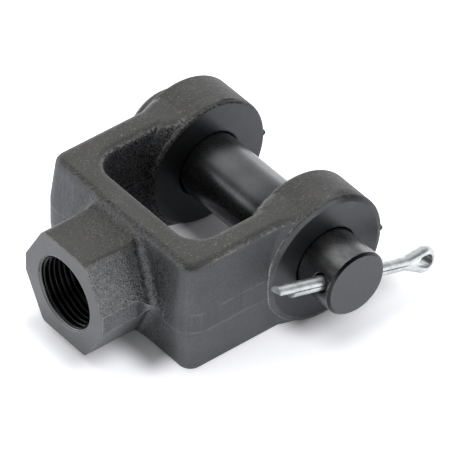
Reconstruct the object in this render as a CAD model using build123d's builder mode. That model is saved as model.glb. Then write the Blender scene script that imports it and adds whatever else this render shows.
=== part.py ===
from build123d import *
from math import acos, atan2, cos, degrees, hypot, radians, sin, tan
import os

# Female clevis rod end: a forged yoke with a threaded hexagon boss, a headed clevis pin through
# its two ears and a split pin through the end of the clevis pin. Millimetres.
# The origin is where the pin's axis crosses the thread's axis. X runs along the thread, out of the
# open jaw. Y runs along the clevis pin, towards its head. Z is up, square to both, and is the
# direction in which the forging dies open: the flash line lies in the plane z = 0.

# ---- yoke: machined sizes ----
pin_dia = 25.4                # clevis pin
pin_clearance = 0.06          # radial running clearance round the clevis pin
jaw_gap = 45.4                # between the machined inner faces of the ears
ear_thickness = 19.0          # between the machined faces of one ear
face_to_pin = 82.0            # threaded end face to the pin's axis
thread_dia = 28.575           # 1-1/8 inch thread, bored to its major diameter
mouth_chamfer = 0.25          # break at the mouth of the threaded bore
bore_chamfer = 0.6            # break at both ends of each ear's bore

# ---- yoke: forged sizes ----
draft = 7.0                   # degrees, on every forged side
block_height = 48.0           # arms and crosspiece
jaw_depth = 45.0              # pin's axis to the bottom of the jaw, at the flash line
web_thickness = 15.5          # crosspiece along the thread, at the flash line
arm_inset = 2.3               # forged inner side of an arm behind its machined inner face
land_inset = 0.85             # trimmed side of an arm behind its machined outer face
land_height = 8.4             # band that the trimming tool leaves round the flash line
block_corner = 8.0            # plan radius of the crosspiece's outer corners
jaw_corner = 6.5              # plan radius of the jaw's inner corners
edge_radius = 3.2             # rounding along the top and bottom edges
ear_radius = 25.5             # forged ear round the pin's axis
crown_fall = 0.8              # the outer side of an ear falls this far from its machined face
crown_width = 2.2             # over this width, out to the ear's radius
crown_edge = 1.0              # radius between that slope and the round of the ear
ear_inner_edge = 1.9          # forged radius round the inner side of an ear
facing_cut = 0.12             # machined off the inner side of an ear, into the forged radius
hex_across_flats = 41.0
hex_trim_width = 43.0         # the two side corners of the hexagon, trimmed with the flash
hex_corner = 3.2              # radius on the other four corners
root_radius = 4.0             # hexagon into the crosspiece
skirt_reach = 4.0             # cones that carry an arm's sides out to the ear, past its radius
inner_skirt = 4.2             # fall of that cone behind the inner face of the ear
outer_skirt = 3.7             # fall of that cone behind the outer face of the ear
flash_stub = 1.2              # trimmed flash left standing at the tip of each ear
flash_thickness = 3.4
flash_slope = 30.0            # degrees, on the flash where the trimming tool broke it off

# ---- clevis pin ----
head_dia = 31.0
head_height = 9.0
head_chamfer = 2.0
head_gap = 1.0                # the pin stands this far out of its seat
tail_length = 16.5            # pin past the outer face of the near ear
tail_chamfer = 1.0
hole_dia = 6.8                # cross-hole for the split pin
hole_to_tail = 5.3            # axis of the cross-hole to the end of the pin
hole_mouth_radius = 0.4

# ---- split pin ----
wire_dia = 5.4                # over both half-round legs
leg_gap = 0.3                 # between the two flat sides
eye_width = 10.3
eye_length = 14.3
throat_radius = 4.0           # bend of each leg into the eye, on its flat side
long_leg = 60.4               # from the throat of the eye to the end of the longer leg
short_leg = 53.5
split_angle = 17.2            # degrees, how far the split pin hangs below level
eye_to_pin = 27.0             # throat of the eye to the clevis pin's axis
split_roll = 11.0             # degrees, turn of the split about the split pin's own axis

close = 0.01                  # tolerance for picking out faces and edges
jaw_half = jaw_gap / 2
ear_face = jaw_half + ear_thickness
block_to_pin = jaw_depth + web_thickness     # trimmed back of the crosspiece to the pin's axis
slope = tan(radians(draft))
grown = land_height / 2 * slope              # how far the untrimmed forging reaches past the trim
block_half = block_height / 2
hex_half = hex_across_flats / 2
die_height = block_half + 2 * root_radius    # room for the root fillet above the flat top
land_side = ear_face - land_inset
bore_radius = pin_dia / 2 + pin_clearance

os.makedirs("parts", exist_ok=True)

# ==== yoke ====
with BuildPart() as clevis_yoke:
    # crosspiece and arms as one drafted block, opened by the drafted jaw
    with BuildSketch(Plane.XY) as block_plan:
        with Locations((die_height * slope, 0)):
            Rectangle(block_to_pin + grown + die_height * slope, 2 * (land_side + grown),
                      align=(Align.MAX, Align.CENTER))
        fillet(block_plan.vertices().group_by(Axis.X)[0], block_corner)
    extrude(amount=die_height, both=True, taper=draft)

    # hexagon boss, its flats level at top and bottom
    with BuildSketch(Plane.YZ.offset(-face_to_pin)) as hex_face:
        RegularPolygon(radius=hex_half, side_count=6, major_radius=False)
        fillet(hex_face.vertices().filter_by(lambda v: abs(v.Y) > hex_half / 2), hex_corner)
    extrude(amount=face_to_pin - jaw_depth)

    # concave root round the hexagon, where it enters the back of the crosspiece
    root = (
        clevis_yoke.edges()
        .filter_by(lambda e: 0 < e.center().X + block_to_pin + grown < grown + hex_half * slope)
        .filter_by(lambda e: abs(e.center().Y) < hex_half and abs(e.center().Z) < hex_half + 1)
    )
    fillet(root, root_radius)

    # open jaw between the arms
    with BuildSketch(Plane.XY) as jaw_plan:
        with Locations((-jaw_depth, 0)):
            Rectangle(2 * jaw_depth, 2 * (jaw_half + arm_inset), align=(Align.MIN, Align.CENTER))
        fillet(jaw_plan.vertices().group_by(Axis.X)[0], jaw_corner)
    extrude(amount=die_height, both=True, taper=-draft, mode=Mode.SUBTRACT)

    # cones on the jaw's side and the outer side of each arm, which carry it out to the ear's faces
    with BuildSketch(Plane.YZ) as skirt_section:
        with BuildLine():
            Polyline(
                (jaw_half + facing_cut, 0),
                (jaw_half + facing_cut, ear_radius - ear_inner_edge),
                (jaw_half + inner_skirt, ear_radius + skirt_reach),
                (ear_face - outer_skirt, ear_radius + skirt_reach),
                (ear_face - facing_cut, ear_radius - crown_width),
                (ear_face - facing_cut, 0),
                close=True,
            )
        make_face()
        mirror(about=Plane.YZ)
    revolve(axis=Axis.Y, revolution_arc=-180)

    # flat top and bottom, cut through the root fillet, and their rounded edges
    with BuildSketch(Plane.XZ) as block_side:
        with Locations((-face_to_pin, 0)):
            Rectangle(face_to_pin, block_height, align=(Align.MIN, Align.CENTER))
    extrude(amount=ear_face + grown, both=True, mode=Mode.INTERSECT)
    flats = clevis_yoke.faces().filter_by(lambda f: abs(f.center().Z) > block_half - close)
    rim = flats.edges().filter_by(lambda e: e.center().X < -close)
    fillet(rim, edge_radius)

    # the trimming tool shaves the flash off and leaves a narrow flat band round the forging
    with BuildSketch(Plane.XY) as trim_plan:
        with Locations((-block_to_pin, 0)):
            Rectangle(block_to_pin + ear_radius, 2 * land_side, align=(Align.MIN, Align.CENTER))
        with Locations((-face_to_pin, 0)):
            Rectangle(face_to_pin, hex_trim_width, align=(Align.MIN, Align.CENTER))
        shoulder = trim_plan.vertices().filter_by(lambda v: abs(v.X + block_to_pin) < close)
        fillet(shoulder, block_corner)
    extrude(amount=block_half, both=True, mode=Mode.INTERSECT)

    # forged ears, each a round boss that stands proud of its arm on both sides, faced on both sides
    with BuildSketch(Plane.XY) as ear_section:
        with BuildLine():
            Polyline(
                (0, jaw_half - facing_cut),
                (ear_radius, jaw_half - facing_cut),
                (ear_radius, ear_face - crown_fall),
                (ear_radius - crown_width, ear_face),
                (0, ear_face),
                close=True,
            )
        make_face()
        fillet(ear_section.vertices().group_by(Axis.X)[-1].sort_by(Axis.Y)[-1], crown_edge)
        fillet(ear_section.vertices().sort_by(Axis.Y)[:2].sort_by(Axis.X)[-1], ear_inner_edge)
        with Locations((0, jaw_half)):
            Rectangle(ear_radius, ear_thickness, align=(Align.MIN, Align.MIN), mode=Mode.INTERSECT)
        mirror(about=Plane.XZ)
    revolve(axis=Axis.Y)

    # stub of trimmed flash across the tip of each ear
    with BuildSketch(Plane.XY) as flash_plan:
        with Locations((0, jaw_half + facing_cut)):
            Rectangle(ear_radius + flash_stub, ear_thickness - 2 * facing_cut,
                      align=(Align.MIN, Align.MIN))
        fillet(flash_plan.vertices().group_by(Axis.X)[-1], ear_inner_edge)
        mirror(about=Plane.XZ)
    extrude(amount=flash_thickness / 2, both=True, taper=flash_slope)

    # one bore through both ears for the clevis pin, broken at each of its four mouths
    with BuildSketch(Plane.XZ):
        Circle(bore_radius)
    extrude(amount=ear_face + 1, both=True, mode=Mode.SUBTRACT)
    mouths = (
        clevis_yoke.edges()
        .filter_by(GeomType.CIRCLE)
        .filter_by(lambda e: abs(e.radius - bore_radius) < close)
    )
    chamfer(mouths, bore_chamfer)

    # threaded bore from the boss face through to the jaw
    with BuildSketch(Plane.YZ.offset(-face_to_pin)):
        Circle(thread_dia / 2)
    extrude(amount=face_to_pin - jaw_depth / 2, mode=Mode.SUBTRACT)
    thread_mouth = (
        clevis_yoke.edges()
        .filter_by(GeomType.CIRCLE)
        .filter_by(lambda e: abs(e.center().X + face_to_pin) < close)
        .filter_by(lambda e: abs(e.radius - thread_dia / 2) < close)
    )
    chamfer(thread_mouth, mouth_chamfer)

clevis_yoke.part.label = "clevis_yoke"
export_step(clevis_yoke.part, "parts/clevis_yoke.step")

# ==== clevis pin ====
seat_y = ear_face + head_gap                 # underside of the head
tail_y = -(ear_face + tail_length)
hole_y = tail_y + hole_to_tail
hang = radians(split_angle)
hole_axis = Vector(cos(hang), 0, -sin(hang))
hole_plane = Plane(origin=(0, hole_y, 0), x_dir=(0, 1, 0), z_dir=hole_axis)

with BuildPart() as clevis_pin:
    with BuildSketch(Plane.XY) as pin_section:
        with BuildLine():
            Polyline(
                (0, tail_y),
                (pin_dia / 2 - tail_chamfer, tail_y),
                (pin_dia / 2, tail_y + tail_chamfer),
                (pin_dia / 2, seat_y),
                (head_dia / 2, seat_y),
                (head_dia / 2, seat_y + head_height - head_chamfer),
                (head_dia / 2 - head_chamfer, seat_y + head_height),
                (0, seat_y + head_height),
                close=True,
            )
        make_face()
    revolve(axis=Axis.Y)

    # cross-hole for the split pin, its two mouths rounded
    with BuildSketch(hole_plane):
        Circle(hole_dia / 2)
    extrude(amount=pin_dia, both=True, mode=Mode.SUBTRACT)
    hole_wall = clevis_pin.faces().filter_by(
        lambda f: f.geom_type == GeomType.CYLINDER and abs(f.radius - hole_dia / 2) < close
    )
    fillet(hole_wall.edges().filter_by(GeomType.BSPLINE), hole_mouth_radius)

clevis_pin.part.label = "clevis_pin"
export_step(clevis_pin.part, "parts/clevis_pin.step")

# ==== split pin ====
# The wire is half round and folded on its flat side. Its path is that flat side: along the longer
# leg, out through the throat, round the eye and back along the shorter leg.
roll = radians(split_roll)
sideways = Vector(0, -1, 0)
upwards = sideways.cross(hole_axis)
eye_normal = sideways * cos(roll) + upwards * sin(roll)
split_plane = Plane(origin=(0, hole_y, 0), x_dir=hole_axis, z_dir=eye_normal)

wire_radius = (wire_dia - leg_gap) / 2
flat = leg_gap / 2                           # flat side of a leg to the split pin's axis
eye_radius = eye_width / 2 - wire_radius     # inside the eye's crown
crown_x = eye_to_pin + eye_length - wire_radius - eye_radius
reach = crown_x - eye_to_pin
across = flat + throat_radius                # between the axis and the centre of a throat bend
span = eye_radius + throat_radius            # between the two centres, square to the straight side
side_length = (reach**2 + across**2 - span**2) ** 0.5
flare = degrees(atan2(reach, across) - acos(span / hypot(reach, across)))

with BuildPart() as cotter_pin:
    with BuildLine(split_plane) as wire_path:
        leg = Line((eye_to_pin - long_leg, flat), (eye_to_pin, flat))
        throat = JernArc(leg @ 1, leg % 1, throat_radius, flare)
        side = PolarLine(throat @ 1, side_length, direction=throat % 1)
        crown = JernArc(side @ 1, side % 1, eye_radius, -180 - 2 * flare)
        side_back = PolarLine(crown @ 1, side_length, direction=crown % 1)
        throat_back = JernArc(side_back @ 1, side_back % 1, throat_radius, flare)
        PolarLine(throat_back @ 1, short_leg, direction=throat_back % 1)
    leg_tip = Plane(origin=wire_path.line @ 0, x_dir=-eye_normal, z_dir=hole_axis)
    with BuildSketch(leg_tip) as wire_section:
        with BuildLine():
            CenterArc((0, 0), wire_radius, 0, 180)
            Line((wire_radius, 0), (-wire_radius, 0))
        make_face()
    sweep(path=wire_path.line)

cotter_pin.part.label = "cotter_pin"
export_step(cotter_pin.part, "parts/cotter_pin.step")
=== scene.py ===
from math import cos, pi, radians, sin

import bmesh
import bpy
from mathutils import Matrix, Vector


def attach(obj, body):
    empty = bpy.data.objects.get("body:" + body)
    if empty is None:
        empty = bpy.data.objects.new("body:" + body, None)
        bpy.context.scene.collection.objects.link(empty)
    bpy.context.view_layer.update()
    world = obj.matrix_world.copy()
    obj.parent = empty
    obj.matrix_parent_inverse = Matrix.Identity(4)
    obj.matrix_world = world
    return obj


# Clevis rod end: a forged yoke with a threaded boss, a headed clevis pin and a split pin.
# Everything is in metres in the CAD frame: X along the thread and out of the jaw, Y along the
# clevis pin towards its head, Z up. The near ear, the pin's tail and the split pin are at -Y.

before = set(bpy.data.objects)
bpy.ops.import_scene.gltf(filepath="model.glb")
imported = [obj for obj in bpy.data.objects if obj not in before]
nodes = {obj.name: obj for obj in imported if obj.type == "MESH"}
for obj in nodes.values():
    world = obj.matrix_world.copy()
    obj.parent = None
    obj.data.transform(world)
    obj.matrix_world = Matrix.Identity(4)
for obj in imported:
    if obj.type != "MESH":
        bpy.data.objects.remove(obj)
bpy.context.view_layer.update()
MM = 0.001

# ---- sizes repeated from the CAD model ----
JAW_FACE = 22.7 * MM            # machined inner faces of the ears, |y|
EAR_FACE = 41.7 * MM            # machined outer faces of the ears, |y|
EAR_RADIUS = 25.5 * MM
BORE_RADIUS = 12.76 * MM
BORE_BREAK = 0.62 * MM          # how far the broken edge of a bore reaches past it
BOSS_FACE = -82.0 * MM          # threaded end face, x
MOUTH_RADIUS = 14.5 * MM        # of the threaded bore's countersink, at the end face
JAW_BOTTOM = -45.0 * MM         # x of the jaw's bottom at the flash line
PIN_TAIL = -58.2 * MM           # end of the clevis pin by the split pin, y
PIN_HEAD_SEAT = 42.7 * MM       # underside of its head, y
SPLIT_ANGLE = radians(17.2)     # tilt of the split pin
FACE_TOLERANCE = 0.06 * MM      # a point this near a machined face is on it
END_TOLERANCE = 0.03 * MM

# ---- thread: the ridge that winds inside the bore, and the cone at its mouth ----
THREAD_MAJOR = 14.2875 * MM
THREAD_PITCH = 25.4 / 12 * MM
THREAD_MINOR = THREAD_MAJOR - 0.625 * 0.866 * THREAD_PITCH
THREAD_END = -46.75 * MM
RIDGE_BASE = THREAD_MAJOR + 0.05 * MM   # just inside the metal
RIDGE_FOOT = 0.4375             # half widths of the ridge in pitches, at its foot
RIDGE_CREST = 0.125             # and at its crest
STEPS_PER_TURN = 96
LEAD_DEPTH = 1.0 * MM
MOUTH_GAP = 0.02 * MM           # how far the ridge stays inside the end face
SHARP_ANGLE = radians(25)

# ---- where the forging's marks lie ----
ROOT_START = -74.0 * MM         # coarse skin round the root of the hexagon, x
ROOT_END = -52.0 * MM
ROOT_WIDTH = 29.0 * MM
PAST_BOSS = BOSS_FACE + 10 * MM
LAND_HALF = 4.2 * MM            # trimmed band round the flash line, |z|
EAR_RIM = EAR_RADIUS + 0.4 * MM
SMUDGES = (((12.0 * MM, -39.4 * MM, 22.4 * MM), (10.0 * MM, 3.8 * MM, 7.0 * MM)),
           ((9.8 * MM, 24.4 * MM, 23.6 * MM), (6.0 * MM, 0.9 * MM, 3.0 * MM)))


def grey(value, tint=0.0):
    """Linear colour of an sRGB level from 0 to 255; tint above 0 is cooler, below 0 warmer."""
    level = value / 255.0
    linear = level / 12.92 if level <= 0.04045 else ((level + 0.055) / 1.055) ** 2.4
    return (linear * (1 - tint), linear, linear * (1 + 1.6 * tint), 1.0)


# ---- colours ----
# the scale is one material: its cooler tone on the sides and its warmer, darker tone on what faces up
# are painted light, set by how the light falls on each
SCALE_ON_SIDES = grey(88, 0.028)
SCALE_ON_TOP = grey(79, -0.018)
TAN_SPECK = grey(160, -0.07)
CREST_LINE = grey(170, -0.02)
RIM_SPECK = grey(165, -0.02)
WORN_STEEL = grey(190, -0.03)
EAR_CUT = grey(71, 0.04)
BOSS_CUT = grey(93, 0.015)
BORE_CUT = grey(36, 0.03)
PIN_DARK = grey(82, 0.03)
PIN_LIGHT = grey(94, 0.01)
PIN_SMEAR = grey(126, -0.01)
PIN_CHAMFER = grey(45, 0.03)
PIN_WORN = grey(190, 0.0)
PIN_END = grey(83, 0.03)
ZINC_DARK = (0.39, 0.415, 0.42, 1.0)
ZINC_LIGHT = (0.66, 0.68, 0.68, 1.0)


# ---- shader helpers ----
class Nodes:
    """A small writer for one node tree: each method adds a node or a few and gives the output."""

    def __init__(self, owner):
        self.owner = owner
        owner.use_nodes = True
        self.tree = owner.node_tree
        self.tree.nodes.clear()
        kind = "World" if isinstance(owner, bpy.types.World) else "Material"
        self.output = self.new("Output" + kind)
        self.coords = self.new("TexCoord")
        self.place = self.coords.outputs["Object"]

    def new(self, kind, operation=None):
        node = self.tree.nodes.new("ShaderNode" + kind)
        if operation:
            node.operation = operation
        return node

    def link(self, value, socket):
        if isinstance(value, bpy.types.NodeSocket):
            self.tree.links.new(value, socket)
        else:
            socket.default_value = value

    # numbers
    def math(self, operation, *values):
        node = self.new("Math", operation)
        for value, socket in zip(values, node.inputs):
            self.link(value, socket)
        return node.outputs[0]

    def times(self, product, *factors):
        for factor in factors:
            product = self.math("MULTIPLY", product, factor)
        return product

    def most(self, largest, *others):
        for other in others:
            largest = self.math("MAXIMUM", largest, other)
        return largest

    def size(self, value):
        return self.math("ABSOLUTE", value)

    def above(self, value, limit):
        return self.math("GREATER_THAN", value, limit)

    def below(self, value, limit):
        return self.math("LESS_THAN", value, limit)

    def distance(self, a, b):
        return self.math("SQRT", self.math("ADD", self.times(a, a), self.times(b, b)))

    def step(self, value, low, high):
        """0 at low, 1 at high, smooth between them. Low may be the larger."""
        node = self.new("MapRange")
        node.interpolation_type = "SMOOTHSTEP"
        self.link(value, node.inputs["Value"])
        node.inputs["From Min"].default_value = low
        node.inputs["From Max"].default_value = high
        return node.outputs["Result"]

    def band(self, value, low, rise, fall, high):
        """1 between rise and fall, 0 below low and above high."""
        return self.times(self.step(value, low, rise), self.step(value, high, fall))

    def grade(self, value, slope, base):
        """base + slope * value."""
        return self.math("MULTIPLY_ADD", value, slope, base)

    def gain(self, level, share, mask):
        """The level, raised by a share of itself where the mask is 1."""
        return self.times(level, self.grade(mask, share, 1.0))

    def vary(self, level, noise, share, mask=None, centre=0.5):
        """The level, moved up and down by a noise where the mask is 1."""
        swing = self.math("SUBTRACT", noise, centre)
        if mask is not None:
            swing = self.times(mask, swing)
        return self.grade(swing, share, level)

    # vectors
    def split(self, vector=None):
        node = self.new("SeparateXYZ")
        self.link(self.place if vector is None else vector, node.inputs[0])
        return node.outputs[0], node.outputs[1], node.outputs[2]

    def join(self, x, y, z):
        node = self.new("CombineXYZ")
        for value, socket in zip((x, y, z), node.inputs):
            self.link(value, socket)
        return node.outputs[0]

    def scale(self, vector, factors):
        node = self.new("VectorMath", "MULTIPLY")
        self.link(vector, node.inputs[0])
        node.inputs[1].default_value = factors
        return node.outputs[0]

    def dot(self, a, b):
        node = self.new("VectorMath", "DOT_PRODUCT")
        self.link(a, node.inputs[0])
        self.link(b, node.inputs[1])
        return node.outputs["Value"]

    def spot(self, centre, reach):
        """1 at a point, falling to 0 at the reach along each axis."""
        away = self.new("VectorMath", "SUBTRACT")
        self.link(self.place, away.inputs[0])
        away.inputs[1].default_value = centre
        length = self.new("VectorMath", "LENGTH")
        self.link(self.scale(away.outputs[0], [1 / axis for axis in reach]), length.inputs[0])
        return self.step(length.outputs["Value"], 1.0, 0.35)

    # patterns
    def noise(self, size, detail=4.0, rough=0.5, vector=None, warp=0.0, seed=0.0):
        """Noise from 0 to 1 whose largest features are about size metres."""
        node = self.new("TexNoise")
        node.noise_dimensions = "4D"
        self.link(self.place if vector is None else vector, node.inputs["Vector"])
        node.inputs["W"].default_value = seed
        node.inputs["Scale"].default_value = 1.0 / size
        node.inputs["Detail"].default_value = detail
        node.inputs["Roughness"].default_value = rough
        node.inputs["Distortion"].default_value = warp
        return node.outputs["Fac"]

    def cells(self, size, seed):
        """Distance to the nearest of scattered points, 0 at each, about 1 between them."""
        node = self.new("TexVoronoi")
        node.voronoi_dimensions = "4D"
        self.link(self.place, node.inputs["Vector"])
        node.inputs["W"].default_value = seed
        node.inputs["Scale"].default_value = 1.0 / size
        return node.outputs["Distance"]

    # colours
    def mix(self, factor, a, b):
        """Colour a where factor is 0, b where it is 1."""
        node = self.new("Mix")
        node.data_type = "RGBA"
        self.link(factor, node.inputs[0])
        self.link(a, node.inputs[6])
        self.link(b, node.inputs[7])
        return node.outputs[2]

    def blend(self, factor, a, b):
        """Number a where factor is 0, b where it is 1."""
        node = self.new("Mix")
        self.link(factor, node.inputs[0])
        self.link(a, node.inputs[2])
        self.link(b, node.inputs[3])
        return node.outputs[0]

    def shade(self, colour, level):
        """A colour times a number."""
        node = self.new("VectorMath", "SCALE")
        self.link(colour[:3] if isinstance(colour, tuple) else colour, node.inputs[0])
        self.link(level, node.inputs[3])
        return node.outputs[0]

    def mottled(self, colour, a, a_share, b, b_share):
        """A colour, moved up and down by two noises."""
        return self.shade(colour, self.vary(self.vary(1.0, a, a_share), b, b_share))

    # surfaces
    def bevel(self, radius):
        node = self.new("Bevel")
        node.samples = 6
        node.inputs["Radius"].default_value = radius
        return node.outputs["Normal"]

    def edge(self, rounded):
        """How far a rounded normal turns from the surface's own: 0 on a flat, more at an edge."""
        own = self.new("NewGeometry").outputs["Normal"]
        return self.math("SUBTRACT", 1.0, self.dot(rounded, own))

    def bump(self, height, distance, strength, normal):
        node = self.new("Bump")
        self.link(height, node.inputs["Height"])
        node.inputs["Distance"].default_value = distance
        node.inputs["Strength"].default_value = strength
        self.link(normal, node.inputs["Normal"])
        return node.outputs["Normal"]

    def surface(self, colour, rough, normal, metallic):
        node = self.new("BsdfPrincipled")
        self.link(colour, node.inputs["Base Color"])
        self.link(rough, node.inputs["Roughness"])
        node.inputs["Metallic"].default_value = metallic
        node.inputs["Specular IOR Level"].default_value = 0.5
        self.link(normal, node.inputs["Normal"])
        self.tree.links.new(node.outputs[0], self.output.inputs["Surface"])
        return self.owner


# ---- the yoke ----
class Forging(Nodes):
    """Scale on a forged skin, and the faces cut on it. A level of 1 is the scale's own colour."""

    def __init__(self):
        super().__init__(bpy.data.materials.new("forging"))
        self.x, self.y, self.z = self.split()
        self.width = self.size(self.y)
        self.ear_distance = self.distance(self.x, self.z)
        self.thread_distance = self.distance(self.y, self.z)
        self.normal_x, self.normal_y, self.normal_z = self.split(self.coords.outputs["Normal"])
        self.sideways = self.size(self.normal_y)
        self.turn = self.times(self.normal_x, -1.0)
        self.up = self.step(self.normal_z, 0.25, 0.95)
        self.off_ears = self.above(self.ear_distance, EAR_RIM)
        self.off_root = self.most(
            self.step(self.x, ROOT_END - 3 * MM, ROOT_END + 5 * MM),
            self.step(self.x, ROOT_START + 9 * MM, ROOT_START + 5 * MM))
        self.find_cut_faces()
        self.find_coarse_skin()

        self.grain = self.noise(0.65 * MM, detail=4.0, rough=0.7)
        self.fine = self.noise(0.38 * MM, detail=2.0, rough=0.6, seed=11.0)

    def find_cut_faces(self):
        x, width, thread_distance = self.x, self.width, self.thread_distance
        outer = self.above(width, EAR_FACE - FACE_TOLERANCE)
        inner = self.math("COMPARE", width, JAW_FACE, FACE_TOLERANCE)
        self.faced = self.most(outer, inner)
        lead = self.times(
            self.below(x, BOSS_FACE + LEAD_DEPTH + 0.02 * MM),
            self.below(self.normal_x, -0.4),
            self.below(thread_distance, MOUTH_RADIUS + 0.1 * MM))
        self.boss_face = self.most(lead, self.below(x, BOSS_FACE + END_TOLERANCE))
        bores = self.below(self.ear_distance, BORE_RADIUS + BORE_BREAK)
        self.thread = self.times(
            self.below(thread_distance, THREAD_MAJOR + 0.4 * MM),
            self.below(x, JAW_BOTTOM + 3 * MM))
        self.machined = self.most(self.faced, self.boss_face, bores, self.thread)

    def find_coarse_skin(self):
        """Coarse skin lies round the root of the hexagon, on its flanks and inside the jaw."""
        x = self.x
        root = self.times(
            self.step(x, ROOT_START, ROOT_START + 7 * MM),
            self.step(x, ROOT_END, ROOT_END - 6 * MM),
            self.step(self.thread_distance, ROOT_WIDTH + 6 * MM, ROOT_WIDTH - 3 * MM),
            self.grade(self.step(self.y, 24 * MM, 12 * MM), 0.7, 0.3),
            self.grade(self.up, -0.45, 1.0))
        self.flank = self.times(self.step(self.sideways, 0.4, 0.7), self.step(x, ROOT_END, ROOT_START))
        self.jaw = self.times(
            self.below(self.width, JAW_FACE + 6 * MM),
            self.above(x, JAW_BOTTOM - 3 * MM),
            self.step(self.normal_z, 0.85, 0.55),
            self.math("SUBTRACT", 1.0, self.machined))
        self.coarse = self.most(root, self.times(self.flank, 0.75), self.jaw)

    def grained(self):
        """Slow mottling and grain, stronger where the skin is coarse, and a painted shade that darkens
        the inside of the jaw.
        """
        mottle = self.noise(15 * MM, detail=4.0, rough=0.55, seed=5.0)
        level = self.vary(1.0, mottle, 0.55)
        level = self.vary(level, self.grain, 0.85)
        level = self.vary(level, self.fine, 0.8)
        level = self.vary(level, self.grain, 3.0, self.coarse)
        # grain centred above its mean, so the jaw's inside comes out darker: painted shade in the
        # recess
        return self.vary(level, self.grain, 3.8, self.jaw, 0.58)

    def root_marks(self, level):
        """The hexagon's root: a groove on its own side, darkened as painted shade, and a ridge on the
        block's side, lightened as a painted highlight; both are also bumped.
        """
        near_root = self.times(
            self.below(self.x, ROOT_END - 4 * MM),
            self.below(self.width, ROOT_WIDTH),
            self.above(self.x, PAST_BOSS),
            self.step(self.sideways, 0.10, 0.34),
            self.grade(self.noise(3.0 * MM, detail=4.0, seed=43.0), 1.1, 0.25))
        drift = self.vary(self.turn, self.noise(5 * MM, detail=3.0, seed=41.0), 0.35)
        self.groove = self.times(self.band(drift, 0.05, 0.32, 0.36, 0.62), near_root)
        self.ridge = self.times(self.band(drift, 0.48, 0.70, 0.74, 0.98), near_root)
        # painted shade in the groove and a painted highlight on the ridge
        level = self.gain(level, -0.70, self.groove)
        return self.gain(level, 0.30, self.ridge)

    def rear_face_marks(self, level):
        """The block's rear face: coarse and darkened on the near side, a painted shadow of the
        hexagon, drawn upright on the far one.
        """
        beside_root = self.times(
            self.step(self.turn, 0.80, 0.95),
            self.band(self.width, 20 * MM, 24 * MM, 29 * MM, 35 * MM),
            self.above(self.x, PAST_BOSS))
        upright = self.scale(self.place, (1.0, 1.0, 0.08))
        drawn = self.noise(0.9 * MM, detail=3.0, rough=0.6, vector=upright, seed=57.0)
        far_side = self.times(beside_root, self.step(self.y, 0.0, 12 * MM))
        shadowed_near_side = self.times(beside_root, self.step(self.y, 12 * MM, -12 * MM))
        level = self.vary(level, drawn, 1.3, far_side, 0.48)
        level = self.vary(level, self.grain, 2.5, shadowed_near_side)
        # painted shadow of the hexagon on the block's rear face, beside its root
        return self.gain(level, -0.22, shadowed_near_side)

    def flash_marks(self, level):
        """The trimmed band round the flash line, scored, with a burr line along each edge."""
        on_side = self.times(
            self.step(self.size(self.normal_z), 0.35, 0.20),
            self.step(self.ear_distance, EAR_RADIUS, EAR_RADIUS + 3 * MM))
        height = self.size(self.z)
        band_edge = self.vary(LAND_HALF, self.noise(11 * MM, detail=3.0, seed=51.0), 1.6 * MM)
        from_edge = self.size(self.math("SUBTRACT", height, band_edge))
        self.burr = self.times(
            self.step(from_edge, 0.75 * MM, 0.2 * MM),
            on_side,
            self.step(self.noise(6 * MM, detail=3.0, seed=53.0), 0.34, 0.58))
        inside = self.times(self.below(height, band_edge), on_side)
        upright = self.scale(self.place, (1.0, 1.0, 0.05))
        scored = self.noise(0.7 * MM, detail=2.0, rough=0.6, vector=upright, seed=55.0)
        level = self.vary(level, scored, 0.65, inside)
        return self.grade(self.burr, 0.42, level)

    def top_edge_marks(self, level):
        """Rounded top edges lighter, partly rubbed wear and partly a painted highlight, but dark and
        coarse along the block's rear one.
        """
        rear = self.times(
            self.band(self.turn, 0.06, 0.28, 0.50, 0.80),
            self.step(self.normal_z, 0.45, 0.65),
            self.below(self.x, ROOT_END),
            self.above(self.x, ROOT_START))
        level = self.vary(level, self.grain, 2.2, rear)
        level = self.gain(level, -0.20, rear)
        self.rounding = self.times(
            self.band(self.normal_z, 0.35, 0.6, 0.8, 0.97),
            self.off_ears,
            self.grade(self.off_root, 0.7, 0.3))
        # partly wear, partly a painted highlight on the rounded edges that face up
        rub_and_sheen = self.grade(self.noise(4 * MM, detail=4.0, rough=0.6, seed=71.0), 1.0, -0.05)
        return self.gain(level, 1.1, self.times(self.rounding, rub_and_sheen))

    def ear_marks(self, level):
        """Grinding marks round the tops of the ears, their tops darker towards +X as a painted dark
        reflection, and a rubbed dark patch on each.
        """
        dome = self.times(
            self.below(self.ear_distance, EAR_RADIUS + 0.3 * MM),
            self.above(self.ear_distance, EAR_RADIUS - 3 * MM))
        lengthwise = self.scale(self.place, (0.14, 1.0, 0.14))
        ground = self.noise(0.9 * MM, detail=3.0, rough=0.6, vector=lengthwise, seed=81.0)
        level = self.vary(level, ground, 0.9, dome, 0.52)
        # painted dark reflection: the ears' tops darker on their +X side
        level = self.gain(level, -0.35, self.times(dome, self.step(self.x, 0.0, 10 * MM)))
        smudge = self.times(
            self.most(*(self.spot(centre, reach) for centre, reach in SMUDGES)),
            self.step(self.noise(2.2 * MM, detail=4.0, rough=0.6, seed=63.0), 0.22, 0.44))
        return self.gain(level, -0.75, smudge)

    def forged_colour(self):
        level = self.grained()
        level = self.root_marks(level)
        level = self.rear_face_marks(level)
        # painted light: the hexagon's flanks lightened by how the light falls on them
        level = self.gain(level, 0.62, self.flank)
        # painted light: what faces down is lightened, standing in for light thrown up from the floor
        level = self.gain(level, 0.12, self.step(self.normal_z, -0.02, -0.10))
        level = self.flash_marks(level)
        level = self.top_edge_marks(level)
        level = self.ear_marks(level)
        # painted light: the scale takes its side or top colour by which way it faces
        return self.shade(self.mix(self.up, SCALE_ON_SIDES, SCALE_ON_TOP), level)

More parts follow.
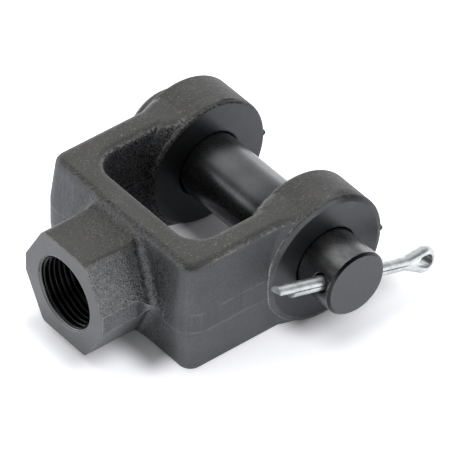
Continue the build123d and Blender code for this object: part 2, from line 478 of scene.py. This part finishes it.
    def specked(self, colour):
        """Tan specks of worn scale, most of them on what faces up and along rounded edges."""
        speck = self.step(self.noise(0.62 * MM, detail=2.0, rough=0.6, seed=8.0), 0.56, 0.70)
        patch = self.step(self.noise(9 * MM, detail=3.0, rough=0.6, seed=21.0), 0.40, 0.62)
        dust = self.grade(self.up, self.grade(patch, 0.24, 0.12), 0.05)
        dust = self.grade(self.times(self.rounding, patch), 0.45, dust)
        return self.mix(self.times(speck, dust), colour, TAN_SPECK)

    def worn(self, colour):
        """Broken pale lines along rounded crests, along the ears' rims and on sharp edges."""
        crest = self.times(
            self.band(self.normal_z, 0.42, 0.56, 0.70, 0.86),
            self.off_ears,
            self.off_root,
            self.step(self.noise(1.1 * MM, detail=3.0, rough=0.7, seed=91.0), 0.44, 0.60))
        colour = self.mix(self.times(crest, 0.45), colour, CREST_LINE)

        rim = self.times(
            self.band(self.sideways, 0.15, 0.35, 0.6, 0.85),
            self.step(self.x, 4 * MM, -6 * MM),
            self.band(self.ear_distance, EAR_RADIUS - 3 * MM, EAR_RADIUS - 2 * MM,
                      EAR_RIM, EAR_RADIUS + 1.5 * MM),
            self.step(self.noise(0.9 * MM, detail=3.0, rough=0.7, seed=95.0), 0.46, 0.62))
        colour = self.mix(self.times(rim, 0.40), colour, RIM_SPECK)

        web = self.band(self.ear_distance, EAR_RIM, EAR_RADIUS + 0.9 * MM, 40 * MM, 44 * MM)
        bare = self.times(
            self.step(self.edge(self.rounded), 0.004, 0.05),
            self.step(self.noise(2.0 * MM, detail=4.0, rough=0.7, seed=15.0), 0.36, 0.58),
            self.math("SUBTRACT", 1.0, web))
        return self.mix(self.times(bare, 0.70), colour, WORN_STEEL)

    def cut_colour(self, lathe, turned):
        stain = self.noise(8 * MM, detail=4.0, rough=0.6, seed=31.0)
        ears = self.mottled(EAR_CUT, stain, 0.5, lathe, 0.6)
        boss = self.mottled(BOSS_CUT, stain, 0.35, turned, 0.30)
        # painted light: the threaded end face is lighter towards its bottom, standing in for the
        # floor's reflection
        boss = self.shade(boss, self.grade(self.step(self.z, 6 * MM, -14 * MM), 0.22, 0.96))
        bores = self.mottled(BORE_CUT, stain, 0.3, turned, 0.3)
        return self.mix(self.boss_face, self.mix(self.faced, bores, ears), boss)

    def skin_height(self):
        """Height of the scale's relief, in half millimetres."""
        pits = self.noise(3.0 * MM, detail=5.0, rough=0.62, warp=0.4, seed=2.0)
        pebble = self.step(self.cells(0.9 * MM, seed=3.0), 0.10, 0.55)
        height = self.grade(pits, 0.55, self.times(self.grain, 0.30))
        height = self.grade(self.times(pebble, self.coarse), 0.55, height)
        height = self.grade(self.math("SUBTRACT", self.ridge, self.groove), 0.5, height)
        height = self.grade(self.burr, 0.25, height)
        return self.grade(self.fine, 0.08, height)

    def finish(self):
        self.rounded = self.bevel(0.7 * MM)
        round_pin = self.join(self.ear_distance, 0.0, 0.0)
        round_thread = self.join(self.thread_distance, 0.0, 0.0)
        lathe = self.noise(0.35 * MM, detail=3.0, rough=0.6, vector=round_pin, seed=1.0)
        turned = self.noise(0.30 * MM, detail=3.0, rough=0.6, vector=round_thread, seed=1.0)
        forged = self.worn(self.specked(self.forged_colour()))
        colour = self.mix(self.machined, forged, self.cut_colour(lathe, turned))
        rough = self.blend(self.machined, self.grade(self.grain, 0.20, 0.44),
                           self.blend(self.thread, 0.34, 0.16))
        cuts = self.times(self.blend(self.boss_face, lathe, turned), 0.02)
        height = self.blend(self.machined, self.skin_height(), cuts)
        bumped = self.bump(height, 0.5 * MM, 0.9, self.rounded)
        return self.surface(colour, rough, bumped, metallic=0.85)


# ---- the clevis pin ----
def pin_material():
    n = Nodes(bpy.data.materials.new("pin_steel"))
    x, y, z = n.split()
    normal_y = n.split(n.coords.outputs["Normal"])[1]
    round_axis = n.join(n.distance(x, z), 0.0, 0.0)
    along = n.noise(0.5 * MM, detail=4.0, rough=0.6, vector=n.join(0.0, y, 0.0), seed=1.0)
    rings = n.noise(0.6 * MM, detail=4.0, rough=0.6, vector=round_axis, seed=4.0)
    cloud = n.noise(9 * MM, detail=4.0, rough=0.55, seed=6.0)
    scuff = n.noise(1.6 * MM, detail=5.0, rough=0.65, seed=9.0)
    smear = n.noise(5.0 * MM, detail=3.0, vector=n.scale(n.place, (1.0, 0.5, 1.0)), seed=12.0)
    rounded = n.bevel(0.3 * MM)

    colour = n.mix(n.step(cloud, 0.3, 0.7), PIN_DARK, PIN_LIGHT)
    colour = n.mottled(colour, scuff, 0.12, along, 0.12)
    # painted shade on the pin beside the near ear, smeared scale on the tail, a dark chamfer at its
    # end
    shade_beside_ear = n.times(n.step(y, -5 * MM, -17 * MM), n.above(y, -EAR_FACE))
    colour = n.shade(colour, n.grade(shade_beside_ear, -0.55, 1.0))
    tail = n.times(n.below(y, -EAR_FACE), n.step(smear, 0.42, 0.66))
    colour = n.mix(n.times(tail, 0.55), colour, PIN_SMEAR)
    chamfer = n.times(n.below(y, PIN_TAIL + 2 * MM), n.below(normal_y, -0.3))
    colour = n.mix(chamfer, colour, PIN_CHAMFER)
    worn = n.times(n.step(n.edge(rounded), 0.02, 0.09), n.step(scuff, 0.40, 0.58))
    colour = n.mix(n.times(worn, 0.6), colour, PIN_WORN)
    # the tail's end face and the whole head
    end = n.most(n.below(y, PIN_TAIL + END_TOLERANCE), n.above(y, PIN_HEAD_SEAT - END_TOLERANCE))
    colour = n.mix(end, colour, n.mottled(PIN_END, scuff, 0.35, rings, 0.25))

    rough = n.blend(end, n.grade(scuff, 0.12, 0.22), 0.45)
    height = n.grade(scuff, 0.5, n.blend(end, along, rings))
    bumped = n.bump(height, 0.012 * MM, 0.5, rounded)
    return n.surface(colour, rough, bumped, metallic=0.9)


# ---- the split pin ----
def zinc_material():
    n = Nodes(bpy.data.materials.new("zinc_wire"))
    x, y, z = n.split()
    along = n.math("ADD", n.times(x, cos(SPLIT_ANGLE)), n.times(z, -sin(SPLIT_ANGLE)))
    drawn = n.join(n.times(along, 0.06), y, z)
    streak = n.noise(0.5 * MM, detail=4.0, rough=0.6, vector=drawn, seed=2.0)
    cloud = n.noise(3.0 * MM, detail=4.0, rough=0.6, seed=3.0)
    colour = n.mix(n.step(cloud, 0.3, 0.7), ZINC_DARK, ZINC_LIGHT)
    rough = n.grade(cloud, 0.20, 0.22)
    height = n.grade(cloud, 0.6, streak)
    bumped = n.bump(height, 0.05 * MM, 0.5, n.bevel(0.25 * MM))
    return n.surface(colour, rough, bumped, metallic=0.85)


def dress(obj, material):
    obj.data.materials.clear()
    obj.data.materials.append(material)


forging = Forging().finish()
dress(nodes["clevis_yoke"], forging)
dress(nodes["clevis_pin"], pin_material())
dress(nodes["cotter_pin"], zinc_material())


# ---- thread ----
# The CAD bore is at the thread's major diameter. The ridge winds inside it, right-handed, cut
# back by a 45 degree countersink at the mouth and by another at the jaw.
def place_object(name, data):
    obj = bpy.data.objects.new(name, data)
    bpy.context.scene.collection.objects.link(obj)
    return obj


def on_circle(mesh, section, angle):
    """The section's points (x, radius) as a ring of vertices at an angle round the thread."""
    return [mesh.verts.new((x, r * cos(angle), r * sin(angle))) for x, r in section]


def join_rings(mesh, first, second):
    count = len(first)
    for i in range(count):
        j = (i + 1) % count
        mesh.faces.new((first[i], first[j], second[j], second[i])).smooth = True


def finish_mesh(mesh, name):
    bmesh.ops.recalc_face_normals(mesh, faces=mesh.faces)
    for edge in mesh.edges:
        edge.smooth = edge.calc_face_angle(0.0) < SHARP_ANGLE
    data = bpy.data.meshes.new(name)
    mesh.to_mesh(data)
    mesh.free()
    return place_object(name, data)


def ridge_point(x, radius):
    """A point of the ridge, kept between its two ends and pushed out to their countersinks."""
    x = min(max(x, BOSS_FACE + MOUTH_GAP), THREAD_END)
    mouth = MOUTH_RADIUS - (x - BOSS_FACE)
    inner = RIDGE_BASE - (THREAD_END - x)
    return x, min(max(radius, mouth, inner), RIDGE_BASE)


def thread_ridge(name):
    profile = ((-RIDGE_FOOT, RIDGE_BASE), (-RIDGE_CREST, THREAD_MINOR),
               (RIDGE_CREST, THREAD_MINOR), (RIDGE_FOOT, RIDGE_BASE))
    lowest = RIDGE_BASE - 0.01 * MM
    mesh = bmesh.new()
    rings = []
    turns = (THREAD_END - BOSS_FACE) / THREAD_PITCH
    for step in range(int(turns * STEPS_PER_TURN) + 1):
        angle = 2 * pi * step / STEPS_PER_TURN
        middle = BOSS_FACE + THREAD_PITCH * step / STEPS_PER_TURN
        section = [ridge_point(middle + offset * THREAD_PITCH, radius) for offset, radius in profile]
        if min(radius for _, radius in section) <= lowest:
            rings.append(on_circle(mesh, section, angle))
    for first, second in zip(rings, rings[1:]):
        join_rings(mesh, first, second)
    for ring in (rings[0], rings[-1]):
        mesh.faces.new(ring)
    bmesh.ops.remove_doubles(mesh, verts=mesh.verts, dist=0.0005 * MM)
    return finish_mesh(mesh, name)


def thread_lead(name):
    """The plain cone at the mouth, where the thread hasn't yet been cut to its depth."""
    section = ((BOSS_FACE + MOUTH_RADIUS - THREAD_MAJOR, THREAD_MAJOR + 0.02 * MM),
               (BOSS_FACE + LEAD_DEPTH, MOUTH_RADIUS - LEAD_DEPTH),
               (BOSS_FACE + LEAD_DEPTH, RIDGE_BASE))
    mesh = bmesh.new()
    angles = [2 * pi * step / STEPS_PER_TURN for step in range(STEPS_PER_TURN)]
    rings = [on_circle(mesh, section, angle) for angle in angles]
    for first, second in zip(rings, rings[1:] + rings[:1]):
        join_rings(mesh, first, second)
    return finish_mesh(mesh, name)


for piece in (thread_ridge("thread_ridge"), thread_lead("thread_lead")):
    dress(piece, forging)
    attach(piece, "yoke")

# ---- floor ----
# The forging stands on the lowest line of its two ears and on the back edge of its block.
FLOOR_HALF = 6.0
FLOOR_TILT = radians(1.3)
FLOOR_WHITE = (0.96, 0.96, 0.965, 1.0)
# the floor's colour darkened under the jaw: a painted shadow
FLOOR_SHADOW_IN_JAW = (0.46, 0.46, 0.465, 1.0)
GLOW_COLOUR = (0.95, 0.95, 1.0, 1.0)
GLOW_LEVEL = 0.78
# Painted shadow round the object: soft-edged boxes that dim the floor's glow, in millimetres: the
# centre (x, y), the half sizes, where the edge's fade begins and ends past the box, and how deep the
# box dims.
SHADOW_BOXES = (
    ((-41, 0), (21, 24), (-2, 11), 1.0),        # block
    ((9, 0), (17, 39), (-2, 13), 1.0),          # ears
    ((-69, 4), (13, 11), (-2, 14), 0.74),       # hexagon
    ((-18, 0), (44, 41), (5, 32), 0.13),        # wide halo
    ((19, -46), (20, 8), (-2, 15), 0.38),       # under the pin's tail and the split pin
)

floor_mesh = bpy.data.meshes.new("floor")
made = bmesh.new()
bmesh.ops.create_grid(made, x_segments=1, y_segments=1, size=FLOOR_HALF)
made.to_mesh(floor_mesh)
made.free()
floor = place_object("floor", floor_mesh)
floor.rotation_euler = (0.0, FLOOR_TILT, 0.0)
floor.location = (EAR_RADIUS * -sin(FLOOR_TILT), 0.0, -EAR_RADIUS * cos(FLOOR_TILT))


def dimmed(n, x, y, centre, half, fade, depth):
    """1 on open floor, lower by depth under a soft-edged box: a painted shadow."""
    past = []
    for value, middle, reach in zip((x, y), centre, half):
        from_middle = n.size(n.math("SUBTRACT", value, middle * MM))
        past.append(n.most(n.math("SUBTRACT", from_middle, reach * MM), 0.0))
    away = n.distance(*past)
    return n.grade(n.step(away, fade[0] * MM, fade[1] * MM), depth, 1 - depth)


def floor_material():
    """White floor that glows for the camera and in reflections, and keeps the shadow; its glow round
    the object and its colour under the jaw are dimmed as painted shadow.
    """
    n = Nodes(bpy.data.materials.new("floor"))
    x, y, _ = n.split()
    width = n.size(y)
    path = n.new("LightPath")
    rays = ("Is Camera Ray", "Is Glossy Ray", "Is Transmission Ray")
    seen = n.most(*(path.outputs[ray] for ray in rays))
    glowing = n.times(*(dimmed(n, x, y, *box) for box in SHADOW_BOXES))
    jaw_shadow = n.times(
        n.step(x, JAW_BOTTOM - 4 * MM, JAW_BOTTOM + 4 * MM),
        n.step(width, JAW_FACE + 14 * MM, JAW_FACE + 4 * MM),
        n.step(x, 34 * MM, 22 * MM))
    diffuse = n.new("BsdfDiffuse")
    n.link(n.mix(jaw_shadow, FLOOR_WHITE, FLOOR_SHADOW_IN_JAW), diffuse.inputs["Color"])
    glow = n.new("Emission")
    glow.inputs["Color"].default_value = GLOW_COLOUR
    n.link(n.times(seen, n.times(glowing, GLOW_LEVEL)), glow.inputs["Strength"])
    total = n.new("AddShader")
    n.link(diffuse.outputs[0], total.inputs[0])
    n.link(glow.outputs[0], total.inputs[1])
    n.link(total.outputs[0], n.output.inputs["Surface"])
    return n.owner


dress(floor, floor_material())

# ---- studio ----
# Brightest behind the object and above it, dark on the camera's side, with a pale band round the
# horizon. A dark gap and a small bright window beside it streak the clevis pin along its length.
BRIGHT_SIDE = (0.21, 0.69, 0.69)
BRIGHT_LEVEL = 1.22
BRIGHT_REACH = 0.885            # the bright side is full where its cosine reaches this
DARK_LEVEL = 0.03
HORIZON_LEVEL = 2.2
HORIZON_WIDTH = 0.25
SPOTS = (                       # direction, cosines where it begins and is full, level added
    ((-0.700, 0.580, 0.416), 0.990, 0.999, 2.0),
    ((-0.550, 0.578, 0.603), 0.972, 0.996, -0.95),
)
SKY_COLOUR = (0.985, 0.99, 1.0, 1.0)

world = bpy.data.worlds.new("studio")
bpy.context.scene.world = world
w = Nodes(world)
direction = w.coords.outputs["Generated"]
rise_of_ray = w.split(direction)[2]
bright = w.step(w.dot(direction, BRIGHT_SIDE), 0.0, BRIGHT_REACH)
horizon = w.math("EXPONENT", w.times(rise_of_ray, rise_of_ray, -1 / HORIZON_WIDTH**2))
level = w.grade(bright, BRIGHT_LEVEL, DARK_LEVEL)
level = w.grade(horizon, HORIZON_LEVEL, level)
for side, begins, full, amount in SPOTS:
    level = w.grade(w.step(w.dot(direction, side), begins, full), amount, level)
sky = w.new("Background")
sky.inputs["Color"].default_value = SKY_COLOUR
w.link(level, sky.inputs["Strength"])
w.link(sky.outputs[0], w.output.inputs["Surface"])

OVERHEAD_PLACE = Vector((-0.05, 0.35, 1.3))
overhead_light = bpy.data.lights.new("overhead", "AREA")
overhead_light.shape = "RECTANGLE"
overhead_light.size = 1.0
overhead_light.size_y = 1.0
overhead_light.energy = 1.0
overhead = place_object("overhead", overhead_light)
overhead.location = OVERHEAD_PLACE
overhead.rotation_euler = (-OVERHEAD_PLACE).to_track_quat("-Z", "Y").to_euler()

# ---- camera: solved from the photograph ----
AZIMUTH = radians(-39.5475)
ELEVATION = radians(41.4125)
ROLL = radians(1.0088)
DISTANCE = 2.0
SHIFT_RIGHT = 8.676 * MM
SHIFT_UP = 9.816 * MM
LENS_PIXELS = 5730.0
PHOTO_PIXELS = 450.0
SENSOR_WIDTH = 36.0

back = Vector((sin(AZIMUTH) * cos(ELEVATION), -cos(AZIMUTH) * cos(ELEVATION), sin(ELEVATION)))
level_right = Vector((cos(AZIMUTH), sin(AZIMUTH), 0.0))
level_up = back.cross(level_right)
right = level_right * cos(ROLL) + level_up * sin(ROLL)
up = level_up * cos(ROLL) - level_right * sin(ROLL)
camera_data = bpy.data.cameras.new("camera")
camera_data.sensor_width = SENSOR_WIDTH
camera_data.lens = LENS_PIXELS / PHOTO_PIXELS * SENSOR_WIDTH
camera_data.clip_start = 0.1
camera_data.clip_end = 50.0
camera = place_object("camera", camera_data)
bpy.context.scene.camera = camera
camera.matrix_world = Matrix.Translation(
    back * DISTANCE - right * SHIFT_RIGHT - up * SHIFT_UP
) @ Matrix((right, up, back)).transposed().to_4x4()

bpy.context.scene.view_settings.view_transform = "Standard"
